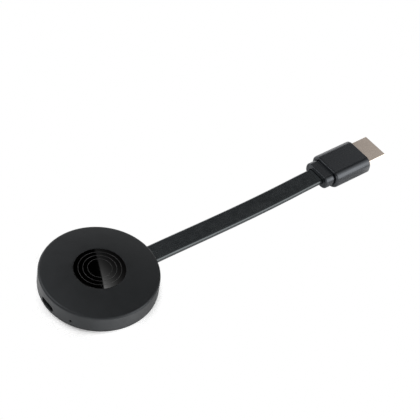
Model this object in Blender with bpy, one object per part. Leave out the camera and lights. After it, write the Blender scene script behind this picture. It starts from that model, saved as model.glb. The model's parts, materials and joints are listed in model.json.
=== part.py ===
"""Streaming media player: a round puck, a captive flat cable and a type-A video plug.

Frame: metres, +Z up. The origin is the centre of the base pad's underside, on the table.
The cable leaves the puck along +X, and the power socket faces -X.
Run with: blender --background --python part.py
"""

import math

import bmesh
import bpy

MM = 0.001

# Puck: a flat drum with a shallow crown.
PUCK_RADIUS = 25.95 * MM
CROWN_Z = 11.85 * MM  # top of the crown, on the axis
CROWN_DROP = 2.06 * MM  # how far the crown has fallen at the puck's radius
RIM_FILLET = 1.1 * MM
BASE_FILLET = 1.9 * MM
SEAM_Z = 1.75 * MM  # top edge of the bottom cover's outer wall
SEAM_GAP = 0.25 * MM
BASE_Z = 0.35 * MM  # underside of the bottom cover, held off the table by its pad
WALL = 1.5 * MM
CROWN_SKIN = 1.4 * MM
FLOOR_TOP_Z = 1.6 * MM  # inside face of the bottom cover's floor
LIP_TOP_Z = 2.4 * MM
LIP_THICKNESS = 1.0 * MM

MEDALLION_RADIUS = 11.2 * MM
MEDALLION_GAP = 0.2 * MM
MEDALLION_UNDERSIDE_Z = 10.75 * MM
RECESS_FLOOR_Z = 10.5 * MM
RECESS_CEILING_Z = 9.3 * MM  # inside face of the skin under the recess
PAD_RADIUS = 16.0 * MM
PAD_THICKNESS = 0.3 * MM
PAD_RECESS_Z = 0.55 * MM

# Circuit board and what it carries.
BOARD_RADIUS = 22.6 * MM
BOARD_BOTTOM_Z = 5.6 * MM
BOARD_TOP_Z = 6.5 * MM
SOLDER_GAP = 0.2 * MM
SCREW_CIRCLE = 19.3 * MM
SCREW_ANGLES = (60, 120, 240, 300)
SCREW_HEAD_RADIUS = 1.6 * MM
SCREW_HEAD_HEIGHT = 0.9 * MM
SCREW_SHANK_RADIUS = 0.65 * MM
SCREW_HOLE_RADIUS = 0.95 * MM
SCREW_TIP_Z = 8.5 * MM
BOSS_RADIUS = 2.2 * MM
BOSS_BORE_TOP_Z = 8.8 * MM
CAN_TOP_Z = 7.9 * MM
CAN_SHEET = 0.2 * MM
SPREADER_RADIUS = 16.5 * MM
SPREADER_BOTTOM_Z = 8.35 * MM
SPREADER_TOP_Z = 8.95 * MM
STACK_GAP = 0.1 * MM

# Openings in the puck's wall.
PORT_Z = 4.0 * MM
PORT_WIDTH = 7.8 * MM
PORT_HEIGHT = 3.0 * MM
PORT_CORNER = 1.2 * MM
SOCKET_WIDTH = 7.4 * MM
SOCKET_HEIGHT = 2.4 * MM
SOCKET_SHEET = 0.3 * MM
SOCKET_FRONT_X = -24.1 * MM
SOCKET_DEPTH = 5.6 * MM
SIDE_HOLE_Z = 4.25 * MM
LED_ANGLE = 209.2
LED_HOLE_RADIUS = 0.63 * MM
BUTTON_ANGLE = 150.8
BUTTON_RADIUS = 1.05 * MM
BUTTON_HOLE_RADIUS = 1.35 * MM
FLANGE_REACH = 24.0 * MM  # how far out the button's and the light pipe's flanges come
FLANGE_THICKNESS = 0.7 * MM

# Cable: a flat ribbon that leaves the puck level and sags towards the plug.
CABLE_WIDTH = 9.45 * MM
CABLE_THICKNESS = 2.55 * MM
CABLE_EXIT_Z = 4.1 * MM
CABLE_SAG = 1.3 * MM
SAG_SKEW = 1.3  # moves the lowest point towards the plug
CABLE_START_X = 19.0 * MM  # inside the puck
CABLE_END_X = 130.0 * MM  # inside the plug
FLEX_COUNT = 7
FIRST_FLEX_X = 32.0 * MM
LAST_FLEX_X = 116.5 * MM
FLEX_GAP = 0.3 * MM
SLOT_GAP = 0.3 * MM

# Plug: a hood over a strain relief and a type-A metal shell.
PLUG_Z = 4.65 * MM
COLLAR_REAR_X = 123.1 * MM
COLLAR_FRONT_X = 130.6 * MM
COLLAR_HALF_WIDTH = 7.45 * MM
COLLAR_HALF_HEIGHT = 3.35 * MM
COLLAR_CORNER = 2.9 * MM
HOOD_REAR_X = 128.3 * MM
HOOD_FRONT_X = 149.5 * MM
HOOD_HALF_WIDTH = 9.1 * MM
HOOD_HALF_HEIGHT = 4.65 * MM
HOOD_CORNER = 4.0 * MM
HOOD_NOSE = 0.6 * MM  # rounding of the front edge
REAR_ROUND = 1.6 * MM  # in plan, of the hood's and the collar's rear corners
SHELL_REAR_X = 136.3 * MM
SHELL_TIP_X = 160.6 * MM
SHELL_HALF_WIDTH = 6.95 * MM
SHELL_HALF_HEIGHT = 2.225 * MM
SHELL_SHEET = 0.35 * MM
MOUTH_HALF_WIDTH = 5.4 * MM
MOUTH_HALF_HEIGHT = 0.85 * MM
MOUTH_DEPTH = 8.5 * MM
MOUTH_FRONT_X = SHELL_TIP_X - 0.6 * MM  # the plastic stands back a little in the shell
CORE_CLEARANCE = 0.15 * MM  # between the plastic and the shell's sheet
MOULD_HALF_WIDTH = 6.6 * MM
MOULD_HALF_HEIGHT = 2.5 * MM
MOULD_CLEARANCE = 0.6 * MM  # between the inner mould and the hood's cavity

COVER_STEPS = 64  # facets round the covers
SMALL_STEPS = 24  # facets round the small turned pieces
CUT_MARGIN = 2.0 * MM  # how far a cutter runs past what it cuts


def crown_height(radius):
    """Height of the puck's outer crown at a distance from its axis."""
    return CROWN_Z - CROWN_DROP * (radius / PUCK_RADIUS) ** 2


def cable_height(x):
    """Height of the cable's centre line outside the puck."""
    share = max(0.0, (x - PUCK_RADIUS) / (COLLAR_REAR_X - PUCK_RADIUS))
    level = CABLE_EXIT_Z + (PLUG_Z - CABLE_EXIT_Z) * share
    return level - CABLE_SAG * math.sin(math.pi * min(1.0, share) ** SAG_SKEW)


def arc(centre, radius, start_deg, end_deg, steps):
    """Points on an arc in a plane, both ends included."""
    angles = [
        math.radians(start_deg + (end_deg - start_deg) * i / steps)
        for i in range(steps + 1)
    ]
    return [
        (centre[0] + radius * math.cos(a), centre[1] + radius * math.sin(a))
        for a in angles
    ]


# Scene helpers


def clear_scene():
    for old in list(bpy.data.objects):
        bpy.data.objects.remove(old, do_unlink=True)


def finish(name, colour, roughness, metallic=0.0):
    """A Principled material, made once and shared by the pieces that use it."""
    made = bpy.data.materials.get(name)
    if made is None:
        made = bpy.data.materials.new(name)
        made.use_nodes = True
        surface = made.node_tree.nodes["Principled BSDF"]
        surface.inputs["Base Color"].default_value = (*colour, 1.0)
        surface.inputs["Roughness"].default_value = roughness
        surface.inputs["Metallic"].default_value = metallic
    return made


def matte_case():
    return finish("matte_case", (0.025, 0.026, 0.027), 0.55)


def gloss_black():
    return finish("gloss_black", (0.004, 0.004, 0.004), 0.05)


def cable_sheath():
    return finish("cable_sheath", (0.022, 0.024, 0.024), 0.42)


def plug_moulding():
    return finish("plug_moulding", (0.026, 0.027, 0.028), 0.45)


def plated_steel():
    return finish("plated_steel", (0.62, 0.58, 0.53), 0.28, 1.0)


def soft_pad():
    return finish("soft_pad", (0.02, 0.02, 0.021), 0.8)


def board_laminate():
    return finish("board_laminate", (0.02, 0.09, 0.045), 0.45)


def chip_epoxy():
    return finish("chip_epoxy", (0.018, 0.018, 0.02), 0.5)


def bright_metal():
    return finish("bright_metal", (0.72, 0.72, 0.72), 0.3, 1.0)


def aluminium_sheet():
    return finish("aluminium_sheet", (0.78, 0.79, 0.8), 0.4, 1.0)


def thermal_silicone():
    return finish("thermal_silicone", (0.35, 0.45, 0.6), 0.7)


def clear_acrylic():
    return finish("clear_acrylic", (0.75, 0.77, 0.78), 0.1)


def contact_plastic():
    return finish("contact_plastic", (0.015, 0.015, 0.016), 0.4)


def ceramic_tan():
    return finish("ceramic_tan", (0.55, 0.4, 0.22), 0.5)


def add_object(name, mesh, material):
    made = bpy.data.objects.new(name, mesh)
    bpy.context.collection.objects.link(made)
    mesh.materials.append(material)
    mesh.shade_smooth()
    mesh.set_sharp_from_angle(angle=math.radians(35))
    return made


def mesh_from(name, build):
    """A mesh filled by build(bm), with its faces turned outwards."""
    bm = bmesh.new()
    build(bm)
    bmesh.ops.recalc_face_normals(bm, faces=bm.faces)
    mesh = bpy.data.meshes.new(name)
    bm.to_mesh(mesh)
    bm.free()
    return mesh


def turned_mesh(name, outline, steps):
    """Spins an outline of (radius, z) about +Z; it runs from the axis out and back to the axis."""

    def build(bm):
        rings = []
        for radius, z in outline:
            if radius == 0:
                rings.append([bm.verts.new((0, 0, z))] * steps)
                continue
            turns = [math.tau * i / steps for i in range(steps)]
            rings.append(
                [bm.verts.new((radius * math.cos(a), radius * math.sin(a), z)) for a in turns]
            )
        for upper, lower in zip(rings, rings[1:]):
            for i in range(steps):
                j = (i + 1) % steps
                corners = [upper[i], lower[i], lower[j], upper[j]]
                bm.faces.new(list(dict.fromkeys(corners)))

    return mesh_from(name, build)


def turned(name, outline, material, steps=SMALL_STEPS):
    return add_object(name, turned_mesh(name, outline, steps), material)


def lofted_mesh(name, sections):
    """Joins rings of (y, z) points at successive x, and caps both ends."""

    def build(bm):
        rings = [[bm.verts.new((x, y, z)) for y, z in ring] for x, ring in sections]
        for near, far in zip(rings, rings[1:]):
            count = len(near)
            for i in range(count):
                j = (i + 1) % count
                bm.faces.new([near[i], near[j], far[j], far[i]])
        bm.faces.new(rings[0][::-1])
        bm.faces.new(rings[-1])

    return mesh_from(name, build)


def lofted(name, sections, material):
    return add_object(name, lofted_mesh(name, sections), material)


def extruded_mesh(name, outline, half_width):
    """Pulls an outline of (x, z) points along Y, centred on y = 0."""

    def build(bm):
        sides = [[bm.verts.new((x, side * half_width, z)) for x, z in outline] for side in (-1, 1)]
        count = len(outline)
        for i in range(count):
            j = (i + 1) % count
            bm.faces.new([sides[0][i], sides[0][j], sides[1][j], sides[1][i]])
        bm.faces.new(sides[0][::-1])
        bm.faces.new(sides[1])

    return mesh_from(name, build)


def block(name, size, centre, material):
    """A box of (x, y, z) size; its origin is at its centre."""

    def build(bm):
        bmesh.ops.create_cube(bm, size=1.0)
        bmesh.ops.scale(bm, vec=size, verts=bm.verts)

    made = add_object(name, mesh_from(name, build), material)
    made.location = centre
    return made


def soften(piece, width, segments=1):
    """A bevel along the piece's sharp edges."""
    bevel = piece.modifiers.new("soften", "BEVEL")
    bevel.width = width
    bevel.segments = segments
    bevel.limit_method = "ANGLE"
    bevel.angle_limit = math.radians(50)
    return piece


def combine(piece, tool, operation):
    """A Boolean with a tool that isn't part of the model itself."""
    tool.hide_render = True
    tool.display_type = "WIRE"
    change = piece.modifiers.new(tool.name, "BOOLEAN")
    change.object = tool
    change.operation = operation
    change.solver = "EXACT"


def guide(name, mesh):
    """An object that only serves as a Boolean tool."""
    return add_object(name, mesh, matte_case())


def face_outwards(piece, angle_deg, z):
    """Turns a piece whose own +Z is its length so that it points out of the wall."""
    piece.location = (0, 0, z)
    piece.rotation_euler = (0, math.pi / 2, math.radians(angle_deg))
    return piece


def rounded_ring(half_width, half_height, corner, steps=5, z=0.0):
    """A rounded rectangle of (y, z) points, running anticlockwise as seen from +X."""
    ring = []
    for turn, (sy, sz) in enumerate(((1, 1), (-1, 1), (-1, -1), (1, -1))):
        centre = (sy * (half_width - corner), z + sz * (half_height - corner))
        ring += arc(centre, corner, 90 * turn, 90 * turn + 90, steps)
    return ring


# Covers


def rim_fillet(inset=0.0):
    """The arc between the crown and the wall, on a surface moved inwards by inset."""
    centre_r = PUCK_RADIUS - RIM_FILLET
    slope = math.atan(2 * CROWN_DROP * centre_r / PUCK_RADIUS**2)
    tangent_r = centre_r + RIM_FILLET * math.sin(slope)
    centre_z = crown_height(tangent_r) - RIM_FILLET * math.cos(slope)
    start = 90 - math.degrees(slope)
    return arc((centre_r, centre_z), RIM_FILLET - inset, start, 0, 5)


def top_cover_outline():
    recess_r = MEDALLION_RADIUS + MEDALLION_GAP
    wall_r = PUCK_RADIUS - WALL
    fillet = rim_fillet()
    crown_steps = 5
    crown = []
    for i in range(crown_steps):
        radius = recess_r + (fillet[0][0] - recess_r) * i / crown_steps
        crown.append((radius, crown_height(radius)))
    step_r = recess_r + WALL
    inner_crown = [
        (radius, crown_height(radius) - CROWN_SKIN)
        for radius in (wall_r, (wall_r + step_r) / 2, step_r)
    ]
    return (
        [(0, RECESS_FLOOR_Z), (recess_r, RECESS_FLOOR_Z)]
        + crown
        + fillet
        + [(PUCK_RADIUS, SEAM_Z + SEAM_GAP), (wall_r, SEAM_Z + SEAM_GAP)]
        + inner_crown
        + [(step_r, RECESS_CEILING_Z), (0, RECESS_CEILING_Z)]
    )


def screw_positions():
    for angle in SCREW_ANGLES:
        turn = math.radians(angle)
        yield SCREW_CIRCLE * math.cos(turn), SCREW_CIRCLE * math.sin(turn)


def make_top_cover():
    cover = turned("top_cover", top_cover_outline(), matte_case(), COVER_STEPS)
    boss_bottom = BOARD_TOP_Z + SLOT_GAP
    boss_top = crown_height(SCREW_CIRCLE) - CROWN_SKIN / 2
    post = turned_mesh("boss_tool", rod(BOSS_RADIUS, boss_bottom, boss_top), 16)
    bore = turned_mesh(
        "bore_tool", rod(SCREW_HOLE_RADIUS, boss_bottom - CUT_MARGIN, BOSS_BORE_TOP_Z), 16
    )
    for shape, operation in ((post, "UNION"), (bore, "DIFFERENCE")):
        for number, (x, y) in enumerate(screw_positions(), 1):
            tool = guide(f"{shape.name}_{number}", shape)
            tool.location = (x, y, 0)
            combine(cover, tool, operation)
    for tool in wall_cutters():
        combine(cover, tool, "DIFFERENCE")


def wall_cutters():
    """The port, the light's hole, the button's hole and the cable's slot."""
    inner = PUCK_RADIUS - WALL - CUT_MARGIN
    outer = PUCK_RADIUS + CUT_MARGIN
    port_ring = rounded_ring(PORT_WIDTH / 2, PORT_HEIGHT / 2, PORT_CORNER, z=PORT_Z)
    yield guide("port_tool", lofted_mesh("port_tool", [(-outer, port_ring), (-inner, port_ring)]))
    for name, angle, radius in (
        ("light_hole_tool", LED_ANGLE, LED_HOLE_RADIUS),
        ("button_hole_tool", BUTTON_ANGLE, BUTTON_HOLE_RADIUS),
    ):
        hole = guide(name, turned_mesh(name, rod(radius, inner, outer), 20))
        yield face_outwards(hole, angle, SIDE_HOLE_Z)
    half_height = CABLE_THICKNESS / 2 + SLOT_GAP
    slot_ring = rounded_ring(
        CABLE_WIDTH / 2 + SLOT_GAP, half_height, half_height - 0.1 * MM, z=CABLE_EXIT_Z
    )
    yield guide("slot_tool", lofted_mesh("slot_tool", [(inner, slot_ring), (outer, slot_ring)]))


def make_bottom_cover():
    lip_r = PUCK_RADIUS - WALL - SEAM_GAP
    centre = (PUCK_RADIUS - BASE_FILLET, BASE_Z + BASE_FILLET)
    seam_turn = math.degrees(math.asin((SEAM_Z - centre[1]) / BASE_FILLET))
    recess_r = PAD_RADIUS + SLOT_GAP
    outline = (
        [(0, FLOOR_TOP_Z), (lip_r - LIP_THICKNESS, FLOOR_TOP_Z)]
        + [(lip_r - LIP_THICKNESS, LIP_TOP_Z), (lip_r, LIP_TOP_Z), (lip_r, SEAM_Z)]
        + arc(centre, BASE_FILLET, seam_turn, -90, 5)
        + [(recess_r, BASE_Z), (recess_r, PAD_RECESS_Z), (0, PAD_RECESS_Z)]
    )
    turned("bottom_cover", outline, matte_case(), COVER_STEPS)


def rod(radius, bottom, top):
    """The outline of a plain round bar."""
    return [(0, top), (radius, top), (radius, bottom), (0, bottom)]


def make_medallion():
    edge = 0.15 * MM
    crown = [(r, crown_height(r)) for r in (MEDALLION_RADIUS / 2, MEDALLION_RADIUS - edge)]
    outline = (
        [(0, CROWN_Z)]
        + crown
        + [(MEDALLION_RADIUS, crown_height(MEDALLION_RADIUS) - edge)]
        + [(MEDALLION_RADIUS, MEDALLION_UNDERSIDE_Z), (0, MEDALLION_UNDERSIDE_Z)]
    )
    turned("medallion", outline, gloss_black(), 48)


def make_base_pad():
    edge = 0.08 * MM
    outline = [
        (0, PAD_THICKNESS),
        (PAD_RADIUS, PAD_THICKNESS),
        (PAD_RADIUS, edge),
        (PAD_RADIUS - edge, 0),
        (0, 0),
    ]
    turned("base_pad", outline, soft_pad(), 48)


# Circuit board


def make_main_board():
    board = turned("main_board", rod(BOARD_RADIUS, BOARD_BOTTOM_Z, BOARD_TOP_Z), board_laminate(), 48)
    low = BOARD_BOTTOM_Z - CUT_MARGIN
    high = BOARD_TOP_Z + CUT_MARGIN
    hole = turned_mesh("board_hole_tool", rod(SCREW_HOLE_RADIUS, low, high), 16)
    for number, (x, y) in enumerate(screw_positions(), 1):
        tool = guide(f"board_hole_tool_{number}", hole)
        tool.location = (x, y, 0)
        combine(board, tool, "DIFFERENCE")
    notch = turned_mesh("board_notch_tool", rod(1.5 * MM, low, high), 16)
    for side in (-1, 1):
        tool = guide("board_notch_tool", notch)
        tool.location = (0, side * BOARD_RADIUS, 0)
        combine(board, tool, "DIFFERENCE")


def cross_outline(reach, half_width):
    """A plus sign, one arm after another."""
    outline = []
    for turn in range(4):
        c, s = round(math.cos(turn * math.pi / 2)), round(math.sin(turn * math.pi / 2))
        for along, across in ((half_width, -half_width), (reach, -half_width), (reach, half_width)):
            outline.append((along * c - across * s, along * s + across * c))
    return outline


def make_board_screws():
    head_top = BOARD_BOTTOM_Z - SOLDER_GAP
    head_bottom = head_top - SCREW_HEAD_HEIGHT
    outline = [
        (0, SCREW_TIP_Z),
        (SCREW_SHANK_RADIUS / 2, SCREW_TIP_Z),
        (SCREW_SHANK_RADIUS, SCREW_TIP_Z - SCREW_SHANK_RADIUS),
        (SCREW_SHANK_RADIUS, head_top),
        (SCREW_HEAD_RADIUS, head_top),
        (SCREW_HEAD_RADIUS, head_bottom + 0.3 * MM),
        (SCREW_HEAD_RADIUS - 0.3 * MM, head_bottom),
        (0, head_bottom),
    ]
    shape = turned_mesh("board_screw", outline, 16)
    recess = extruded_mesh("recess_tool", cross_outline(1.1 * MM, 0.22 * MM), 0.5 * MM)
    for number, (x, y) in enumerate(screw_positions(), 1):
        screw = bpy.data.objects.new(f"board_screw_{number}", shape)
        bpy.context.collection.objects.link(screw)
        screw.location = (x, y, 0)
        tool = guide(f"recess_tool_{number}", recess)
        tool.location = (x, y, head_bottom)
        tool.rotation_euler = (math.pi / 2, 0, 0)
        combine(screw, tool, "DIFFERENCE")
    shape.materials.append(bright_metal())
    shape.shade_smooth()
    shape.set_sharp_from_angle(angle=math.radians(35))


def on_board(name, size, x, y, material):
    """A component on the board's upper face."""
    z = BOARD_TOP_Z + SOLDER_GAP + size[2] / 2
    return soften(block(name, size, (x, y, z), material), 0.08 * MM)


def make_top_side():
    on_board("processor_chip", (10 * MM, 10 * MM, 0.8 * MM), -6 * MM, 0, chip_epoxy())
    on_board("memory_chip", (8 * MM, 11 * MM, 0.8 * MM), 4.5 * MM, 0, chip_epoxy())
    on_board("flash_chip", (11 * MM, 9 * MM, 0.9 * MM), 0, -13 * MM, chip_epoxy())
    on_board("wifi_module", (11 * MM, 11 * MM, 1.4 * MM), 0, 13.5 * MM, bright_metal())
    on_board("clock_crystal", (3.2 * MM, 2.5 * MM, 0.7 * MM), -14.5 * MM, 6 * MM, bright_metal())
    for number, y in enumerate((3.5, -3.5), 1):
        name = f"power_inductor_{number}"
        on_board(name, (4 * MM, 4 * MM, 1.5 * MM), 13.8 * MM, y * MM, chip_epoxy())
    for number, (x, y) in enumerate(((-15, 1), (-15, -4), (-12, -9)), 1):
        name = f"capacitor_{number}"
        on_board(name, (2.8 * MM, 3.5 * MM, 1.4 * MM), x * MM, y * MM, ceramic_tan())


def make_shield_can():
    size = (22 * MM, 14 * MM)
    centre_x = -1 * MM
    bottom = BOARD_TOP_Z + SOLDER_GAP
    height = CAN_TOP_Z - bottom
    can = block("shield_can", (*size, height), (centre_x, 0, bottom + height / 2), bright_metal())
    hollow = block(
        "can_tool",
        (size[0] - 2 * CAN_SHEET, size[1] - 2 * CAN_SHEET, height),
        (centre_x, 0, bottom + height / 2 - CAN_SHEET),
        matte_case(),
    )
    combine(can, hollow, "DIFFERENCE")
    pad_height = SPREADER_BOTTOM_Z - CAN_TOP_Z - 2 * STACK_GAP
    pad_z = CAN_TOP_Z + STACK_GAP + pad_height / 2
    block("thermal_pad", (14 * MM, 12 * MM, pad_height), (centre_x, 0, pad_z), thermal_silicone())


def make_heat_spreader():
    outline = rod(SPREADER_RADIUS, SPREADER_BOTTOM_Z, SPREADER_TOP_Z)
    soften(turned("heat_spreader", outline, aluminium_sheet(), 40), 0.1 * MM)


def make_wifi_antenna():
    """A stamped inverted F: a strip on one leg."""
    sheet = 0.3 * MM
    strip_z = BOARD_TOP_Z + 1.4 * MM
    outline = [
        (0, strip_z),
        (0, strip_z - sheet),
        (11.7 * MM, strip_z - sheet),
        (11.7 * MM, BOARD_TOP_Z + SOLDER_GAP),
        (12 * MM, BOARD_TOP_Z + SOLDER_GAP),
        (12 * MM, strip_z),
    ]
    antenna = add_object(
        "wifi_antenna", extruded_mesh("wifi_antenna", outline, 1.0 * MM), bright_metal()
    )
    antenna.location = (19.6 * MM, -6 * MM, 0)
    antenna.rotation_euler = (0, 0, math.pi / 2)


# Socket, light and button, all under the board


def socket_ring(inset):
    """The flared section of a micro socket, wide side up."""
    half_w = SOCKET_WIDTH / 2 - inset
    half_h = SOCKET_HEIGHT / 2 - inset
    narrow = half_w - 1.1 * MM
    knee = 0.25 * MM
    return [
        (half_w, PORT_Z + half_h),
        (-half_w, PORT_Z + half_h),
        (-half_w, PORT_Z - knee),
        (-narrow, PORT_Z - half_h),
        (narrow, PORT_Z - half_h),
        (half_w, PORT_Z - knee),
    ]


def make_socket():
    rear_x = SOCKET_FRONT_X + SOCKET_DEPTH
    shell = lofted(
        "socket_shell",
        [(SOCKET_FRONT_X, socket_ring(0)), (rear_x, socket_ring(0))],
        bright_metal(),
    )
    hollow = lofted_mesh(
        "socket_tool",
        [
            (SOCKET_FRONT_X - CUT_MARGIN, socket_ring(SOCKET_SHEET)),
            (rear_x + CUT_MARGIN, socket_ring(SOCKET_SHEET)),
        ],
    )
    combine(shell, guide("socket_tool", hollow), "DIFFERENCE")
    tongue_bottom = PORT_Z - 0.1 * MM
    tongue_top = PORT_Z + 0.5 * MM
    base_bottom = PORT_Z - 0.7 * MM
    base_top = PORT_Z + 0.75 * MM
    base_x = rear_x - 1.3 * MM
    tip_x = SOCKET_FRONT_X + 0.6 * MM
    outline = [
        (tip_x, tongue_top),
        (tip_x, tongue_bottom),
        (base_x, tongue_bottom),
        (base_x, base_bottom),
        (rear_x, base_bottom),
        (rear_x, base_top),
        (base_x, base_top),
        (base_x, tongue_top),
    ]
    add_object(
        "socket_tongue", extruded_mesh("socket_tongue", outline, 1.9 * MM), contact_plastic()
    )


def side_block(name, size, reach, angle_deg, material):
    """A block lying along the wall's normal, with its centre at a reach from the puck's axis."""
    piece = face_outwards(block(name, size, (0, 0, 0), material), angle_deg, SIDE_HOLE_Z)
    turn = math.radians(angle_deg)
    piece.location = (reach * math.cos(turn), reach * math.sin(turn), SIDE_HOLE_Z)
    return piece


def make_light():
    side_block("status_led", (2.0 * MM, 3.0 * MM, 1.4 * MM), 20.6 * MM, LED_ANGLE, clear_acrylic())
    tip = 25.4 * MM
    root = 21.6 * MM
    tip_r = LED_HOLE_RADIUS - 0.25 * MM
    flange_r = 1.0 * MM
    stem_r = 0.5 * MM
    outline = [
        (0, tip),
        (tip_r, tip),
        (tip_r, FLANGE_REACH),
        (flange_r, FLANGE_REACH),
        (flange_r, FLANGE_REACH - FLANGE_THICKNESS),
        (stem_r, FLANGE_REACH - FLANGE_THICKNESS),
        (stem_r, root),
        (0, root),
    ]
    face_outwards(turned("light_pipe", outline, clear_acrylic(), 16), LED_ANGLE, SIDE_HOLE_Z)


def make_button():
    """The cap and the switch's plunger slide together along the wall's own normal."""
    face = PUCK_RADIUS - 0.1 * MM
    root = 21.9 * MM
    edge = 0.2 * MM
    flange_r = 1.7 * MM
    stem_r = 0.7 * MM
    outline = [
        (0, face),
        (BUTTON_RADIUS - edge, face),
        (BUTTON_RADIUS, face - edge),
        (BUTTON_RADIUS, FLANGE_REACH),
        (flange_r, FLANGE_REACH),
        (flange_r, FLANGE_REACH - FLANGE_THICKNESS),
        (stem_r, FLANGE_REACH - FLANGE_THICKNESS),
        (stem_r, root),
        (0, root),
    ]
    face_outwards(turned("reset_button", outline, matte_case()), BUTTON_ANGLE, SIDE_HOLE_Z)
    body_size = (1.9 * MM, 3.8 * MM, 2.3 * MM)
    body = side_block("switch_body", body_size, 20.05 * MM, BUTTON_ANGLE, contact_plastic())
    pocket_size = (1.2 * MM, 2.0 * MM, 2.4 * MM)
    pocket = side_block("pocket_tool", pocket_size, 21.2 * MM, BUTTON_ANGLE, matte_case())
    combine(body, pocket, "DIFFERENCE")
    plunger_size = (0.8 * MM, 1.6 * MM, 1.3 * MM)
    side_block("switch_plunger", plunger_size, 21.15 * MM, BUTTON_ANGLE, bright_metal())


def make_cable_anchor():
    """The saddle that holds the cable, and the header its wires are soldered to."""
    post = 1.6 * MM
    inner = CABLE_WIDTH / 2 + SLOT_GAP
    outer = inner + post
    bottom = FLOOR_TOP_Z + SLOT_GAP
    floor = CABLE_EXIT_Z - CABLE_THICKNESS / 2 - SLOT_GAP
    top = BOARD_BOTTOM_Z - SLOT_GAP
    ring = [
        (outer, top),
        (inner, top),
        (inner, floor),
        (-inner, floor),
        (-inner, top),
        (-outer, top),
        (-outer, bottom),
        (outer, bottom),
    ]
    lofted("cable_clamp", [(19.6 * MM, ring), (21.8 * MM, ring)], contact_plastic())
    size = (3 * MM, 11 * MM, 1.5 * MM)
    z = BOARD_BOTTOM_Z - SOLDER_GAP - size[2] / 2
    soften(block("wire_header", size, (17 * MM, 0, z), contact_plastic()), 0.1 * MM)


# Cable


def cable_path():
    """The cable's two ends and its flex axes, as (x, z)."""
    spacing = (LAST_FLEX_X - FIRST_FLEX_X) / (FLEX_COUNT - 1)
    flexes = [FIRST_FLEX_X + spacing * i for i in range(FLEX_COUNT)]
    start = (CABLE_START_X, CABLE_EXIT_Z)
    end = (CABLE_END_X, PLUG_Z)
    return [start] + [(x, cable_height(x)) for x in flexes] + [end]


def cable_side(length, round_start, hollow_end):
    """Side view of one stretch: a round nose at its own axis, a hollow for the next nose."""
    half = CABLE_THICKNESS / 2
    pocket = half + FLEX_GAP
    lip = math.degrees(math.asin(half / pocket))
    start = arc((0, 0), half, 90, 270, 12) if round_start else [(0, half), (0, -half)]
    if hollow_end:
        end = arc((length, 0), pocket, 180 + lip, 180 - lip, 8)
    else:
        end = [(length, -half), (length, half)]
    return start + end


def make_cable():
    path = cable_path()
    names = ["cable_lead"] + [f"cable_link_{i}" for i in range(1, FLEX_COUNT)] + ["cable_tail"]
    half = CABLE_THICKNESS / 2
    ring = rounded_ring(CABLE_WIDTH / 2, half, half - 0.15 * MM, steps=4)
    for number, name in enumerate(names):
        (x0, z0), (x1, z1) = path[number : number + 2]
        length = math.hypot(x1 - x0, z1 - z0)
        first = number == 0
        last = number == len(names) - 1
        piece = lofted(name, [(-half - MM, ring), (length + MM, ring)], cable_sheath())
        side = extruded_mesh(f"side_tool_{number}", cable_side(length, not first, not last), CABLE_WIDTH)
        tool = guide(f"side_tool_{number}", side)
        for part in (piece, tool):
            part.location = (x0, 0, z0)
            part.rotation_euler = (0, -math.atan2(z1 - z0, x1 - x0), 0)
        combine(piece, tool, "INTERSECT")


# Plug


def stepped(stations, half_width, half_height, corner):
    """Loft sections of a rounded bar; each station is (x, drawn in sideways, drawn in vertically)."""
    sections = []
    for x, side, height in stations:
        ring = rounded_ring(half_width - side, half_height - height, corner - height, z=PLUG_Z)
        sections.append((x, ring))
    return sections


def rounded_rear(x, side_radius, height_radius):
    """Stations of a rear end that is well rounded in plan and only softened in height."""
    steps = 4
    stations = []
    for i in range(steps + 1):
        turn = math.radians(90 * i / steps)
        draw = 1 - math.sin(turn)
        stations.append((x + side_radius * (1 - math.cos(turn)), side_radius * draw, height_radius * draw))
    return stations


def shell_ring(inset):
    """The type-A section: wide side up, lower corners drawn in."""
    half_w = SHELL_HALF_WIDTH - inset
    half_h = SHELL_HALF_HEIGHT - inset
    knee = -0.35 * MM
    narrow = half_w - 1.75 * MM
    corner = 0.4 * MM
    upper = arc((half_w - corner, half_h - corner), corner, 0, 90, 3)
    side = upper + [(y * -1, z) for y, z in reversed(upper)]
    lower = [(-half_w, knee), (-narrow, -half_h), (narrow, -half_h), (half_w, knee)]
    return [(y, z + PLUG_Z) for y, z in side + lower]


def make_plug_hood():
    nose_stations = [
        (HOOD_FRONT_X - HOOD_NOSE, 0, 0),
        (HOOD_FRONT_X - 0.3 * HOOD_NOSE, 0.3 * HOOD_NOSE, 0.3 * HOOD_NOSE),
        (HOOD_FRONT_X, HOOD_NOSE, HOOD_NOSE),
    ]
    stations = rounded_rear(HOOD_REAR_X, REAR_ROUND, 0.4 * MM) + nose_stations
    sections = stepped(stations, HOOD_HALF_WIDTH, HOOD_HALF_HEIGHT, HOOD_CORNER)
    hood = lofted("plug_hood", sections, plug_moulding())
    gap = SLOT_GAP
    collar_ring = rounded_ring(
        COLLAR_HALF_WIDTH + gap, COLLAR_HALF_HEIGHT + gap, COLLAR_CORNER + gap, z=PLUG_Z
    )
    cavity_half_width = MOULD_HALF_WIDTH + MOULD_CLEARANCE
    cavity_half_height = MOULD_HALF_HEIGHT + MOULD_CLEARANCE
    cavity_ring = rounded_ring(cavity_half_width, cavity_half_height, MM, z=PLUG_Z)
    mouth_ring = shell_ring(-gap)
    rear_end = COLLAR_FRONT_X + gap
    cavity_end = HOOD_FRONT_X - 2.0 * MM
    for name, ring, low, high in (
        ("hood_rear_tool", collar_ring, HOOD_REAR_X - CUT_MARGIN, rear_end),
        ("hood_cavity_tool", cavity_ring, rear_end - 0.5 * MM, cavity_end),
        ("hood_mouth_tool", mouth_ring, cavity_end - 0.5 * MM, HOOD_FRONT_X + CUT_MARGIN),
    ):
        combine(hood, guide(name, lofted_mesh(name, [(low, ring), (high, ring)])), "DIFFERENCE")
    return hood


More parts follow.
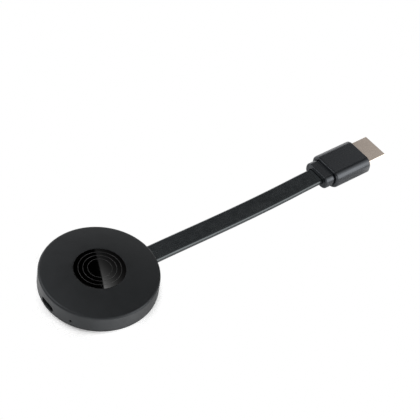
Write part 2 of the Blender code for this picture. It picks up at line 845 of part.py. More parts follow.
def make_plug_collar():
    stations = rounded_rear(COLLAR_REAR_X, REAR_ROUND, 0.5 * MM) + [(COLLAR_FRONT_X, 0, 0)]
    sections = stepped(stations, COLLAR_HALF_WIDTH, COLLAR_HALF_HEIGHT, COLLAR_CORNER)
    collar = lofted("plug_collar", sections, plug_moulding())
    half_height = CABLE_THICKNESS / 2 + 1.5 * SLOT_GAP
    ring = rounded_ring(CABLE_WIDTH / 2 + SLOT_GAP, half_height, 1.3 * MM, z=PLUG_Z)
    low = COLLAR_REAR_X - CUT_MARGIN
    high = COLLAR_FRONT_X + CUT_MARGIN
    slot = lofted_mesh("collar_tool", [(low, ring), (high, ring)])
    combine(collar, guide("collar_tool", slot), "DIFFERENCE")
    return collar


def make_plug_shell():
    shell = lofted(
        "plug_shell", [(SHELL_REAR_X, shell_ring(0)), (SHELL_TIP_X, shell_ring(0))], plated_steel()
    )
    low = SHELL_REAR_X - CUT_MARGIN
    high = SHELL_TIP_X + CUT_MARGIN
    ring = shell_ring(SHELL_SHEET)
    hollow = lofted_mesh("shell_tool", [(low, ring), (high, ring)])
    combine(shell, guide("shell_tool", hollow), "DIFFERENCE")
    return shell


def core_block(name, low_x, high_x):
    """A plastic block that fills the metal shell from one x to another."""
    ring = shell_ring(SHELL_SHEET + CORE_CLEARANCE)
    return lofted(name, [(low_x, ring), (high_x, ring)], contact_plastic())


def make_plug_insulator():
    """The plastic frame round the mouth that the television's contact tongue enters."""
    insulator = core_block("plug_insulator", MOUTH_FRONT_X - MOUTH_DEPTH, MOUTH_FRONT_X)
    mouth = block(
        "mouth_tool",
        (3 * MOUTH_DEPTH, 2 * MOUTH_HALF_WIDTH, 2 * MOUTH_HALF_HEIGHT),
        (MOUTH_FRONT_X, 0, PLUG_Z),
        matte_case(),
    )
    combine(insulator, mouth, "DIFFERENCE")
    return insulator


def make_contact_holder():
    """The block behind the mouth, which holds the rear of the contacts."""
    return core_block("contact_holder", SHELL_REAR_X, MOUTH_FRONT_X - MOUTH_DEPTH - SLOT_GAP)


def make_plug_inner_mould():
    """The block moulded over the soldered wire ends."""
    rear_x = COLLAR_FRONT_X + 0.4 * MM
    front_x = SHELL_REAR_X - SLOT_GAP
    stations = [(rear_x, 0, 0), (front_x, 0, 0)]
    sections = stepped(stations, MOULD_HALF_WIDTH, MOULD_HALF_HEIGHT, 0.8 * MM)
    return lofted("plug_inner_mould", sections, contact_plastic())


def make_plug():
    """All of the plug turns about the cable's last flex axis, where its empty sits."""
    pivot = bpy.data.objects.new("plug_pivot", None)
    bpy.context.collection.objects.link(pivot)
    pivot.location = (LAST_FLEX_X, 0, cable_height(LAST_FLEX_X))
    for make in (
        make_plug_hood,
        make_plug_collar,
        make_plug_shell,
        make_plug_insulator,
        make_contact_holder,
        make_plug_inner_mould,
    ):
        piece = make()
        tools = [m.object for m in piece.modifiers if m.type == "BOOLEAN"]
        for part in [piece] + tools:
            part.parent = pivot
            part.location = part.location - pivot.location


def build():
    clear_scene()
    make_top_cover()
    make_bottom_cover()
    make_medallion()
    make_base_pad()
    make_main_board()
    make_board_screws()
    make_top_side()
    make_shield_can()
    make_heat_spreader()
    make_wifi_antenna()
    make_socket()
    make_light()
    make_button()
    make_cable_anchor()
    make_cable()
    make_plug()


build()
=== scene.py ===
"""Looks of the streaming media player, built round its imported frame. Metres, +Z up."""

import json
import math

import bmesh
import bpy
from mathutils import Matrix, Vector


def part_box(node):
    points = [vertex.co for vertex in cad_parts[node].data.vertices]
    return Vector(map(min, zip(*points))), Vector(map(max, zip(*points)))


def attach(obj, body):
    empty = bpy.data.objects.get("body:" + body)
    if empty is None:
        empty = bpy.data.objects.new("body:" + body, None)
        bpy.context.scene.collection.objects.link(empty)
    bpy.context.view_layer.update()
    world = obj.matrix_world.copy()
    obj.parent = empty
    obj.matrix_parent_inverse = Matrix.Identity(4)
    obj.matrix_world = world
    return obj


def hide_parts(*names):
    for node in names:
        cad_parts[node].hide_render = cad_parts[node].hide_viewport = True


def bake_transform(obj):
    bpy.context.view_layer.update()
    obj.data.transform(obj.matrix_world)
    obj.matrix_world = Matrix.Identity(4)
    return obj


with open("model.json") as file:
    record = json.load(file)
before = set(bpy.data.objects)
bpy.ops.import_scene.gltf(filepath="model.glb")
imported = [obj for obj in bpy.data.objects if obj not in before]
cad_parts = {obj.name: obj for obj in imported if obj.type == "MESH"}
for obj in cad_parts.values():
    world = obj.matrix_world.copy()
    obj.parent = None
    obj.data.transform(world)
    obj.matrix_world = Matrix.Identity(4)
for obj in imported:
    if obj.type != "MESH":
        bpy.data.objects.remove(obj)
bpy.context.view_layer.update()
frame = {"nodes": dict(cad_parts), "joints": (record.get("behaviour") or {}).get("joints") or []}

MM = 0.001

# Puck: its size comes from the frame, and these are its finer features.
COVER_LOW, COVER_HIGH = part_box("top_cover")
DISC_LOW, DISC_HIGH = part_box("medallion")
BASE_LOW, BASE_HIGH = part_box("bottom_cover")
PAD_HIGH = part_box("base_pad")[1]
PUCK_RADIUS = COVER_HIGH.x
CROWN_Z = DISC_HIGH.z
DISC_RADIUS = DISC_HIGH.x
DISC_GAP = 0.12 * MM
RECESS_RADIUS = DISC_RADIUS + DISC_GAP
CAD_RECESS_RADIUS = DISC_RADIUS + 0.2 * MM
CROWN_DROP = (CROWN_Z - COVER_HIGH.z) * (PUCK_RADIUS / CAD_RECESS_RADIUS) ** 2
RIM_FILLET = 1.1 * MM
BASE_FILLET = 1.9 * MM
SEAM_GAP = 0.25 * MM
WALL = 1.5 * MM
SKIN = 1.4 * MM
RECESS_DEPTH = 0.25 * MM  # from the disc's underside to the recess floor
TURN_STEPS = 192
SHARP_ANGLE = 32  # degrees; sharper edges than this stay sharp

# Openings in the wall.
PORT_LOW, PORT_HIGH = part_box("socket_shell")
PORT_Z = (PORT_LOW.z + PORT_HIGH.z) / 2
PORT_MARGIN = 0.25 * MM
PORT_SIDE_MARGIN = 0.2 * MM
PORT_CORNER = 1.2 * MM
MOUTH_ROUND = 0.25 * MM
LIGHT_HOLE_RADIUS = 0.5 * MM
BUTTON_GAP = 0.2 * MM

# Cable and plug.
LEAD_LOW, LEAD_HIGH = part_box("cable_lead")
TAIL_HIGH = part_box("cable_tail")[1]
CABLE_HALF_WIDTH = LEAD_HIGH.y
CABLE_HALF_THICKNESS = 1.275 * MM
CABLE_CORNER = 1.1 * MM
HOOD_LOW, HOOD_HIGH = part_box("plug_hood")
COLLAR_LOW, COLLAR_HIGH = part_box("plug_collar")
SHELL_LOW, SHELL_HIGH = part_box("plug_shell")
CORE_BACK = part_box("contact_holder")[0].x
CORE_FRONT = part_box("plug_insulator")[1].x
PLUG_Z = (HOOD_LOW.z + HOOD_HIGH.z) / 2
CORNER_STEPS = 10

HINGES = [joint for joint in frame["joints"] if joint["type"] == "hinge"]
BUTTON_JOINT = next(joint for joint in frame["joints"] if joint["type"] == "slide")

BUTTON_RADIUS = 1.05 * MM
BASE_LIP_RADIUS = PUCK_RADIUS - WALL - SEAM_GAP
CABLE_EXIT_Z = HINGES[0]["pos_m"][2] + 0.08 * MM  # it leaves the wall a little higher
COLLAR_CORNER = 2.9 * MM


# Points and meshes


def arc(centre, radius, start_deg, end_deg, steps):
    """Points on an arc in a plane, both ends included."""
    turns = [math.radians(start_deg + (end_deg - start_deg) * i / steps) for i in range(steps + 1)]
    return [(centre[0] + radius * math.cos(t), centre[1] + radius * math.sin(t)) for t in turns]


def smooth(t):
    return t * t * (3 - 2 * t)


def mesh_from(name, fill):
    """A mesh filled by fill(bm), with its faces turned outwards and smooth between sharp edges."""
    bm = bmesh.new()
    fill(bm)
    bmesh.ops.recalc_face_normals(bm, faces=bm.faces)
    mesh = bpy.data.meshes.new(name)
    bm.to_mesh(mesh)
    bm.free()
    mesh.shade_smooth()
    mesh.set_sharp_from_angle(angle=math.radians(SHARP_ANGLE))
    return mesh


def spun(name, outline, steps=TURN_STEPS):
    """Turns an outline of (radius, z) about the Z axis; it starts and ends on the axis."""

    def fill(bm):
        rings = []
        for radius, z in outline:
            if radius < 1e-9:
                rings.append([bm.verts.new((0, 0, z))] * steps)
                continue
            turns = [math.tau * i / steps for i in range(steps)]
            rings.append(
                [bm.verts.new((radius * math.cos(t), radius * math.sin(t), z)) for t in turns]
            )
        for upper, lower in zip(rings, rings[1:]):
            for i in range(steps):
                j = (i + 1) % steps
                corners = [upper[i], lower[i], lower[j], upper[j]]
                bm.faces.new(list(dict.fromkeys(corners)))

    return mesh_from(name, fill)


def lofted(name, rings, closed=False):
    """Skins rings of points. A closed loft joins its last ring to its first, the others are capped."""

    def fill(bm):
        made = [[bm.verts.new(point) for point in ring] for ring in rings]
        pairs = list(zip(made, made[1:]))
        if closed:
            pairs.append((made[-1], made[0]))
        count = len(made[0])
        for near, far in pairs:
            for i in range(count):
                j = (i + 1) % count
                bm.faces.new([near[i], near[j], far[j], far[i]])
        if not closed:
            bm.faces.new(made[0][::-1])
            bm.faces.new(made[-1])

    return mesh_from(name, fill)


def rounded_ring(half_width, half_height, corner, steps=CORNER_STEPS):
    """A rounded rectangle of (y, z) points about (0, 0), anticlockwise as seen from +X."""
    ring = []
    for turn, (sy, sz) in enumerate(((1, 1), (-1, 1), (-1, -1), (1, -1))):
        centre = (sy * (half_width - corner), sz * (half_height - corner))
        ring += arc(centre, corner, 90 * turn, 90 * turn + 90, steps)
    return ring


def keystone_ring(half_width, half_height, knee, draw, steps=CORNER_STEPS):
    """A connector's section: upper corners rounded, lower corners drawn in below the knee."""
    corner = 0.35 * MM
    ring = arc((half_width - corner, half_height - corner), corner, 0, 90, steps)
    ring += arc((corner - half_width, half_height - corner), corner, 90, 180, steps)
    lower = []
    for i in range(steps + 1):
        share = i / steps
        y = half_width - draw * smooth(share)
        lower.append((y, knee - (half_height + knee) * share))
    ring += [(-y, z) for y, z in lower]
    ring += lower[::-1]
    return ring


def across_x(x, ring, z=PLUG_Z):
    """A ring of (y, z) points set upright at x."""
    return [(x, y, z + dz) for y, dz in ring]


def weigh_normals(made):
    """Keeps flat faces flat beside narrow roundings."""
    shading = made.modifiers.new("shading", "WEIGHTED_NORMAL")
    shading.keep_sharp = True


def piece(name, mesh, material, body=None, replaces=()):
    """A finished piece of the object. A piece with no body is attached to none."""
    made = bpy.data.objects.new(name, mesh)
    bpy.context.scene.collection.objects.link(made)
    mesh.materials.append(material)
    weigh_normals(made)
    if body:
        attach(made, body)
    if replaces:
        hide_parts(*replaces)
    return made


def cut(target, cutters):
    """Cuts holes in a piece's mesh and removes the cutters."""
    for cutter in cutters:
        change = target.modifiers.new("cut", "BOOLEAN")
        change.object = cutter
        change.operation = "DIFFERENCE"
        change.solver = "EXACT"
    graph = bpy.context.evaluated_depsgraph_get()
    result = bpy.data.meshes.new_from_object(target.evaluated_get(graph))
    target.modifiers.clear()
    weigh_normals(target)
    target.data = result
    result.shade_smooth()
    result.set_sharp_from_angle(angle=math.radians(SHARP_ANGLE))
    for cutter in cutters:
        bpy.data.objects.remove(cutter)


def cutter(name, mesh):
    made = bpy.data.objects.new(name, mesh)
    bpy.context.scene.collection.objects.link(made)
    return made


# Materials


class Shading:
    """A node tree in the making. Each method adds nodes and gives back their output."""

    def __init__(self, tree):
        self.tree = tree

    def node(self, kind, **settings):
        made = self.tree.nodes.new(kind)
        for key, value in settings.items():
            setattr(made, key, value)
        return made

    def link(self, source, target):
        self.tree.links.new(source, target)

    def maths(self, operation, *values):
        """Arithmetic on numbers and outputs."""
        made = self.node("ShaderNodeMath", operation=operation)
        for value, target in zip(values, made.inputs):
            if isinstance(value, (int, float)):
                target.default_value = value
            else:
                self.link(value, target)
        return made.outputs["Value"]

    def spread(self, source, low, high, low_in=0.3, high_in=0.7, kind="LINEAR"):
        """Maps a value of the source from low_in..high_in to low..high."""
        mapped = self.node("ShaderNodeMapRange", interpolation_type=kind)
        limits = {"From Min": low_in, "From Max": high_in, "To Min": low, "To Max": high}
        for key, value in limits.items():
            mapped.inputs[key].default_value = value
        self.link(source, mapped.inputs["Value"])
        return mapped.outputs["Result"]

    def distance(self, coords, centre):
        """Distance of the shaded point from a fixed one."""
        made = self.node("ShaderNodeVectorMath", operation="DISTANCE")
        made.inputs[1].default_value = centre
        self.link(coords, made.inputs[0])
        return made.outputs["Value"]


class Finish(Shading):
    """A procedural material: a Principled surface and the nodes that feed it."""

    def __init__(self, name, colour, roughness, metallic=0.0):
        self.material = bpy.data.materials.new(name)
        self.material.use_nodes = True
        super().__init__(self.material.node_tree)
        self.surface = self.tree.nodes["Principled BSDF"]
        self.surface.inputs["Base Color"].default_value = (*colour, 1)
        self.surface.inputs["Roughness"].default_value = roughness
        self.surface.inputs["Metallic"].default_value = metallic
        self.coords = self.node("ShaderNodeTexCoord").outputs["Object"]

    def noise(self, size, detail=2.0, stretch=(1, 1, 1)):
        """Noise whose features are about size across, drawn out along an axis by stretch."""
        mapping = self.node("ShaderNodeMapping")
        mapping.inputs["Scale"].default_value = [1 / (size * s) for s in stretch]
        noise = self.node("ShaderNodeTexNoise")
        noise.inputs["Scale"].default_value = 1.0
        noise.inputs["Detail"].default_value = detail
        self.link(self.coords, mapping.inputs["Vector"])
        self.link(mapping.outputs["Vector"], noise.inputs["Vector"])
        return noise.outputs["Fac"]

    def cells(self, size):
        """Round cells about size across, as on a spark-eroded mould."""
        mapping = self.node("ShaderNodeMapping")
        mapping.inputs["Scale"].default_value = [1 / size] * 3
        cells = self.node("ShaderNodeTexVoronoi", feature="SMOOTH_F1")
        cells.inputs["Scale"].default_value = 1.0
        self.link(self.coords, mapping.inputs["Vector"])
        self.link(mapping.outputs["Vector"], cells.inputs["Vector"])
        return cells.outputs["Distance"]

    def tint(self, factor, other):
        """Mixes the base colour towards another by a factor."""
        mix = self.node("ShaderNodeMix", data_type="RGBA")
        current = self.surface.inputs["Base Color"]
        if current.links:
            self.link(current.links[0].from_socket, mix.inputs["A"])
        else:
            mix.inputs["A"].default_value = current.default_value
        mix.inputs["B"].default_value = (*other, 1)
        self.link(factor, mix.inputs["Factor"])
        self.link(mix.outputs["Result"], current)

    def vary_roughness(self, change):
        """Adds a value to the roughness."""
        current = self.surface.inputs["Roughness"]
        start = current.links[0].from_socket if current.links else current.default_value
        self.link(self.maths("ADD", start, change), current)

    def bump(self, height, depth):
        """Raises the surface by up to depth where height is 1."""
        bump = self.node("ShaderNodeBump")
        bump.inputs["Distance"].default_value = depth
        bump.inputs["Strength"].default_value = 1.0
        self.link(height, bump.inputs["Height"])
        current = self.surface.inputs["Normal"]
        if current.links:
            self.link(current.links[0].from_socket, bump.inputs["Normal"])
        self.link(bump.outputs["Normal"], current)

    def edge_wear(self, polish, other):
        """Polishes and lightens the convex edges, which handling rubs."""
        geometry = self.node("ShaderNodeNewGeometry")
        worn = self.spread(geometry.outputs["Pointiness"], 0, 0.4, 0.55, 0.7)
        patchy = self.maths("MULTIPLY", worn, self.spread(self.noise(1.5 * MM), 0.3, 1))
        self.tint(patchy, other)
        self.vary_roughness(self.maths("MULTIPLY", patchy, -polish))


def moulded(name, colour, roughness, grain, depth, wear=0.06, sheen=(1, 1, 1), gloss=0.5):
    """Moulded plastic: an eroded grain, faint cloudiness, handling marks and rubbed edges.

    Sheen tints what it mirrors, and gloss is how strongly it mirrors (0.5 is plain plastic).
    """
    finish = Finish(name, colour, roughness)
    finish.surface.inputs["Specular Tint"].default_value = (*sheen, 1)
    finish.surface.inputs["Specular IOR Level"].default_value = gloss
    lighter = tuple(channel * 1.5 + 0.0012 for channel in colour)
    finish.tint(finish.spread(finish.noise(9 * MM, 3), 0, 0.35), lighter)
    finish.vary_roughness(finish.spread(finish.noise(5 * MM, 4), -0.04, 0.05))
    finish.edge_wear(wear, lighter)
    finish.bump(finish.cells(grain), depth)
    finish.bump(finish.noise(grain * 0.4, 2), depth * 0.4)
    return finish.material


def polished_black():
    """Gloss black acrylic: all but a mirror, with fine dust and hairline rub marks."""
    finish = Finish("polished_black", (0.0004, 0.0004, 0.0004), 0.02)
    finish.surface.inputs["IOR"].default_value = 1.5
    hairs = finish.noise(0.3 * MM, 3, stretch=(14, 0.4, 1))
    finish.vary_roughness(finish.spread(hairs, 0, 0.05, 0.55, 0.8))
    finish.vary_roughness(finish.spread(finish.noise(4 * MM, 3), 0, 0.03))
    dust = finish.noise(0.22 * MM, 1)
    finish.tint(finish.spread(dust, 0, 0.3, 0.76, 0.8), (0.01, 0.01, 0.01))
    return finish.material


def elastomer(name, colour, roughness):
    """The cable's sheath: satin, with faint marks along the way it was drawn."""
    finish = Finish(name, colour, roughness)
    finish.surface.inputs["Specular Tint"].default_value = (0.9, 0.98, 1, 1)
    finish.surface.inputs["Specular IOR Level"].default_value = 0.9
    lighter = tuple(channel * 1.4 + 0.003 for channel in colour)
    finish.tint(finish.spread(finish.noise(11 * MM, 3, stretch=(2, 1, 1)), 0, 0.5), lighter)
    drawn = finish.noise(0.35 * MM, 3, stretch=(30, 1, 1))
    finish.vary_roughness(finish.spread(drawn, -0.03, 0.03))
    finish.vary_roughness(finish.spread(finish.noise(3 * MM, 4), -0.03, 0.05))
    finish.bump(drawn, 0.003 * MM)
    finish.bump(finish.noise(0.12 * MM, 2), 0.002 * MM)
    return finish.material


def sheet_metal(name, colour, roughness, grain_axis=(30, 1, 1), streak=0.12):
    """Rolled or plated sheet: fine streaks along the grain, and faint stains."""
    finish = Finish(name, colour, roughness, metallic=1.0)
    darker = tuple(channel * 0.8 for channel in colour)
    streaks = finish.noise(0.12 * MM, 4, stretch=grain_axis)
    finish.vary_roughness(finish.spread(streaks, -streak, streak))
    finish.tint(finish.spread(finish.noise(3 * MM, 4), 0, 0.35), darker)
    finish.bump(streaks, 0.0008 * MM)
    return finish.material


def laminate():
    """Solder-masked board: fine copper traces show as raised lines under the mask."""
    finish = Finish("solder_mask", (0.012, 0.06, 0.03), 0.35)
    mapping = finish.node("ShaderNodeMapping")
    mapping.inputs["Scale"].default_value = [1 / (1.2 * MM)] * 3
    bricks = finish.node("ShaderNodeTexBrick")
    bricks.inputs["Scale"].default_value = 1.0
    bricks.inputs["Mortar Size"].default_value = 0.12
    finish.link(finish.coords, mapping.inputs["Vector"])
    finish.link(mapping.outputs["Vector"], bricks.inputs["Vector"])
    finish.tint(bricks.outputs["Fac"], (0.03, 0.12, 0.05))
    finish.bump(bricks.outputs["Fac"], 0.02 * MM)
    return finish.material


def see_through(name, colour):
    """Clear or smoked plastic, faintly hazed."""
    finish = Finish(name, colour, 0.08)
    finish.surface.inputs["Transmission Weight"].default_value = 0.9
    finish.surface.inputs["IOR"].default_value = 1.49
    finish.vary_roughness(finish.spread(finish.noise(0.5 * MM, 3), 0, 0.08))
    return finish.material


def gold_plate():
    finish = Finish("gold_plate", (0.85, 0.6, 0.25), 0.25, metallic=1.0)
    finish.vary_roughness(finish.spread(finish.noise(0.3 * MM, 3), -0.05, 0.1))
    finish.bump(finish.noise(0.08 * MM, 2), 0.002 * MM)
    return finish.material


CASE = moulded(
    "case_plastic", (0.0017, 0.0019, 0.0021), 0.45, 0.22 * MM, 0.004 * MM, sheen=(0.9, 0.95, 1)
)
DISC = polished_black()
ETCHED = moulded("etched_black", (0.014, 0.014, 0.014), 0.5, 0.1 * MM, 0.002 * MM, wear=0)
SHEATH = elastomer("cable_elastomer", (0.0072, 0.0084, 0.0096), 0.235)
HOOD = moulded(
    "plug_plastic",
    (0.0008, 0.0012, 0.0020),
    0.28,
    0.16 * MM,
    0.0004 * MM,
    sheen=(0.88, 0.93, 1),
    gloss=0.85,
)
PLATE = sheet_metal("plug_plating", (0.72, 0.62, 0.54), 0.2, streak=0.04)
PAD = moulded("pad_rubber", (0.012, 0.012, 0.012), 0.75, 0.35 * MM, 0.02 * MM, wear=0.02)
CONNECTOR = moulded("connector_plastic", (0.008, 0.008, 0.009), 0.4, 0.15 * MM, 0.003 * MM)
GOLD = gold_plate()
BOARD = laminate()
EPOXY = moulded("chip_epoxy", (0.014, 0.014, 0.016), 0.55, 0.1 * MM, 0.004 * MM)
TIN = sheet_metal("tinned_sheet", (0.68, 0.68, 0.67), 0.28, grain_axis=(1, 30, 1))
ALUMINIUM = sheet_metal("rolled_aluminium", (0.76, 0.77, 0.78), 0.38)
SILICONE = moulded("thermal_silicone", (0.3, 0.4, 0.55), 0.7, 0.3 * MM, 0.02 * MM, wear=0)
CERAMIC = moulded("ceramic_body", (0.45, 0.32, 0.18), 0.5, 0.1 * MM, 0.004 * MM)
CLEAR = see_through("clear_plastic", (0.7, 0.72, 0.73))
SMOKED = see_through("smoked_plastic", (0.02, 0.02, 0.022))


# Puck


def crown(radius):
    """Height of the puck's crown at a distance from its axis."""
    return CROWN_Z - CROWN_DROP * (radius / PUCK_RADIUS) ** 2


def crown_slope(radius):
    return math.atan(2 * CROWN_DROP * radius / PUCK_RADIUS**2)


def cover_outline():
    lip = 0.1 * MM
    wall_r = PUCK_RADIUS - WALL
    floor_z = DISC_LOW.z - RECESS_DEPTH
    centre_r = PUCK_RADIUS - RIM_FILLET
    slope = crown_slope(centre_r)
    tangent_r = centre_r + RIM_FILLET * math.sin(slope)
    centre_z = crown(tangent_r) - RIM_FILLET * math.cos(slope)
    fillet = arc((centre_r, centre_z), RIM_FILLET, 90 - math.degrees(slope), 0, 12)
    edge_r = RECESS_RADIUS + lip
    outline = [(0, floor_z), (RECESS_RADIUS, floor_z)]
    outline += arc((edge_r, crown(edge_r) - lip), lip, 180, 90, 4)
    steps = 16
    for i in range(1, steps):
        radius = edge_r + (fillet[0][0] - edge_r) * i / steps
        outline.append((radius, crown(radius)))
    outline += fillet
    wall_steps = 7
    low = COVER_LOW.z + lip
    for i in range(1, wall_steps):
        outline.append((PUCK_RADIUS, centre_z + (low - centre_z) * i / wall_steps))
    outline += arc((PUCK_RADIUS - lip, low), lip, 0, -90, 3)
    outline += [(wall_r, COVER_LOW.z)]
    step_r = RECESS_RADIUS + WALL
    inner_steps = 4
    for i in range(inner_steps + 1):
        radius = wall_r + (step_r - wall_r) * i / inner_steps
        outline.append((radius, crown(radius) - SKIN))
    recess_floor = 1.2 * MM
    ceiling = floor_z - recess_floor
    return outline + [(step_r, ceiling), (0, ceiling)]


def wall_opening(name, angle_deg, z, ring_at):
    """A cutter through the wall, with a rounded mouth.

    ring_at(growth) gives its ring of (sideways, z) points, grown outwards.
    """
    turn = math.radians(angle_deg)
    out = Vector((math.cos(turn), math.sin(turn), 0))
    side = Vector((-math.sin(turn), math.cos(turn), 0))
    lift = 0.03 * MM
    stations = [(PUCK_RADIUS + MM, MOUTH_ROUND)]
    for depth, growth in arc((MOUTH_ROUND - lift, MOUTH_ROUND), MOUTH_ROUND, 180, 270, 5):
        stations.append((PUCK_RADIUS - depth, growth))
    stations.append((PUCK_RADIUS - WALL - MM, 0))
    rings = []
    for reach, growth in stations:
        ring = []
        for u, dz in ring_at(growth):
            forward = math.sqrt(reach**2 - u**2)
            ring.append(out * forward + side * u + Vector((0, 0, z + dz)))
        rings.append(ring)
    return cutter(name, lofted(name, rings))


def round_hole(radius):
    count = 32

    def ring_at(growth):
        return arc((0, 0), radius + growth, 0, 360 - 360 / count, count - 1)

    return ring_at


def slot_hole(half_width, half_height, corner):
    def ring_at(growth):
        return rounded_ring(half_width + growth, half_height + growth, corner + growth)

    return ring_at


def angle_of(node):
    low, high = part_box(node)
    centre = (low + high) / 2
    return math.degrees(math.atan2(centre.y, centre.x)), centre.z


def make_top_cover():
    cover = piece(
        "cover_shell", spun("cover_shell", cover_outline()), CASE, "puck", ["top_cover"]
    )
    light_angle, light_z = angle_of("light_pipe")
    button_angle, button_z = angle_of("reset_button")
    button_hole = BUTTON_RADIUS + BUTTON_GAP
    port_w = PORT_HIGH.y + PORT_SIDE_MARGIN
    port_h = (PORT_HIGH.z - PORT_LOW.z) / 2 + PORT_MARGIN
    slot_gap = 0.15 * MM
    slot_w = CABLE_HALF_WIDTH + slot_gap
    slot_h = CABLE_HALF_THICKNESS + slot_gap
    cutters = [
        wall_opening("port", 180, PORT_Z, slot_hole(port_w, port_h, PORT_CORNER)),
        wall_opening("light_hole", light_angle, light_z, round_hole(LIGHT_HOLE_RADIUS)),
        wall_opening("button_hole", button_angle, button_z, round_hole(button_hole)),
        wall_opening("slot", 0, CABLE_EXIT_Z, slot_hole(slot_w, slot_h, CABLE_CORNER + slot_gap)),
    ]
    cut(cover, cutters)


def make_bottom_cover():
    seam_z = COVER_LOW.z - SEAM_GAP
    lip_r = BASE_LIP_RADIUS
    edge = 0.12 * MM
    base_z = BASE_LOW.z
    centre = (PUCK_RADIUS - BASE_FILLET, base_z + BASE_FILLET)
    seam_turn = math.degrees(math.asin((seam_z - centre[1]) / BASE_FILLET))
    recess_r = PAD_HIGH.x + 0.3 * MM
    recess_z = PAD_HIGH.z + 0.25 * MM
    thickness = 1.25 * MM
    lip_width = 1.0 * MM
    inside_z = base_z + thickness
    outline = [(0, inside_z), (lip_r - lip_width, inside_z), (lip_r - lip_width, BASE_HIGH.z)]
    outline += [(lip_r - edge, BASE_HIGH.z), (lip_r, BASE_HIGH.z - edge), (lip_r, seam_z)]
    outline += arc(centre, BASE_FILLET, seam_turn, -90, 14)
    ring_r = (centre[0] + recess_r) / 2
    groove = 0.25 * MM
    outline += arc((ring_r, base_z), groove, 0, 180, 6)
    outline += arc((recess_r + edge, base_z + edge), edge, -90, -180, 4)
    outline += [(recess_r, recess_z), (0, recess_z)]
    piece(
        "base_shell", spun("base_shell", outline), CASE, "puck", ["bottom_cover"]
    )


def make_base_pad():
    edge = 0.1 * MM
    radius = PAD_HIGH.x
    outline = [(0, PAD_HIGH.z), (radius - edge, PAD_HIGH.z), (radius, PAD_HIGH.z - edge)]
    outline += arc((radius - edge, edge), edge, 0, -90, 4)
    groove = 0.12 * MM
    count = 5
    for i in range(count):
        centre_r = radius * (count - i) / (count + 1)
        outline += arc((centre_r, 0), groove, 0, 180, 4)
    piece("grip_pad", spun("grip_pad", outline + [(0, 0)]), PAD, "puck", ["base_pad"])


def make_medallion():
    """A flush disc with a few fine etched rings, evenly spaced."""
    edge = 0.06 * MM
    groove_half = 0.1 * MM
    groove_depth = 0.08 * MM
    top = [(0, crown(0))]

    def follow_crown(radius):
        start = top[-1][0]
        steps = 6
        for step in range(1, steps + 1):
            between = start + (radius - start) * step / steps
            top.append((between, crown(between)))

    for share in (0.46, 0.64, 0.82):
        radius = DISC_RADIUS * share
        follow_crown(radius - groove_half)
        top.append((radius, crown(radius) - groove_depth))
        top.append((radius + groove_half, crown(radius + groove_half)))
    follow_crown(DISC_RADIUS - 2 * edge)
    top += arc((DISC_RADIUS - edge, crown(DISC_RADIUS) - edge), edge, 84, 0, 4)
    outline = top + [(DISC_RADIUS, DISC_LOW.z), (0, DISC_LOW.z)]
    mesh = spun("gloss_disc", outline, 256)
    piece("gloss_disc", mesh, DISC, "puck", ["medallion"])
    mesh.materials.append(ETCHED)
    for face in mesh.polygons:
        radius = face.center.xy.length
        slope = face.normal.xy.dot(face.center.xy) / radius
        if face.normal.z > 0.5 and abs(slope - math.sin(crown_slope(radius))) > 0.1:
            face.material_index = 1


def make_button():
    """The cap in the wall, with a shallow dish for a fingertip or a pin."""
    axis = -Vector(BUTTON_JOINT["axis"])
    _, z = angle_of("reset_button")
    face = PUCK_RADIUS - 0.1 * MM
    dish = 0.12 * MM
    edge = 0.2 * MM
    outline = [(0, face - dish)]
    outline += [(BUTTON_RADIUS * s, face - dish * (1 - smooth(s / 0.75))) for s in (0.25, 0.5, 0.75)]
    outline += arc((BUTTON_RADIUS - edge, face - edge), edge, 90, 0, 5)
    flange_r = 1.7 * MM
    flange_top = 24.0 * MM
    flange_low = flange_top - 0.7 * MM
    stem_r = 0.7 * MM
    root = 21.9 * MM
    outline += [(BUTTON_RADIUS, flange_top), (flange_r, flange_top), (flange_r, flange_low)]
    outline += [(stem_r, flange_low), (stem_r, root), (0, root)]
    mesh = spun("button_cap", outline, 48)
    mesh.transform(Matrix.Translation((0, 0, z)) @ axis.to_track_quat("Z", "Y").to_matrix().to_4x4())
    piece("button_cap", mesh, CASE, "button", ["reset_button"])


# Power socket


def make_socket():
    half_w = PORT_HIGH.y
    half_h = (PORT_HIGH.z - PORT_LOW.z) / 2
    knee = -0.25 * MM
    draw = 1.1 * MM
    sheet = 0.25 * MM
    roll = 0.08 * MM

    def ring(x, inset):
        return across_x(x, keystone_ring(half_w - inset, half_h - inset, knee, draw), PORT_Z)

    front = PORT_LOW.x
    rear = PORT_HIGH.x
    rings = [ring(rear, 0), ring(front + roll, 0), ring(front, roll)]
    rings += [ring(front, sheet - roll), ring(front + roll, sheet), ring(rear, sheet)]
    piece(
        "power_socket", lofted("power_socket", rings, closed=True), TIN, "puck",
        ["socket_shell"],
    )
    low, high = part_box("socket_tongue")
    tongue_w = high.y
    tip = 0.12 * MM
    blade_h = 0.3 * MM
    blade_z = PORT_Z + 0.2 * MM
    base_x = high.x - 1.3 * MM
    rings = []
    corner = 0.1 * MM
    for x, shrink in ((low.x, tip), (low.x + tip, 0), (base_x, 0)):
        section = rounded_ring(tongue_w - shrink, blade_h - shrink, corner, 3)
        rings.append(across_x(x, section, blade_z))
    base_half = (high.z - low.z) / 2
    for x in (base_x, high.x):
        section = rounded_ring(tongue_w, base_half, corner, 3)
        rings.append(across_x(x, section, (high.z + low.z) / 2))
    piece(
        "socket_blade", lofted("socket_blade", rings), CONNECTOR, "puck",
        ["socket_tongue"],
    )
    contact = (base_x - low.x - 0.5 * MM, 0.3 * MM, 0.06 * MM)
    pitch = 0.65 * MM
    z = blade_z + blade_h
    centres = [((base_x + low.x) / 2, pitch * i, z) for i in range(-2, 3)]
    piece("socket_contacts", bars("socket_contacts", contact, centres), GOLD, "puck")


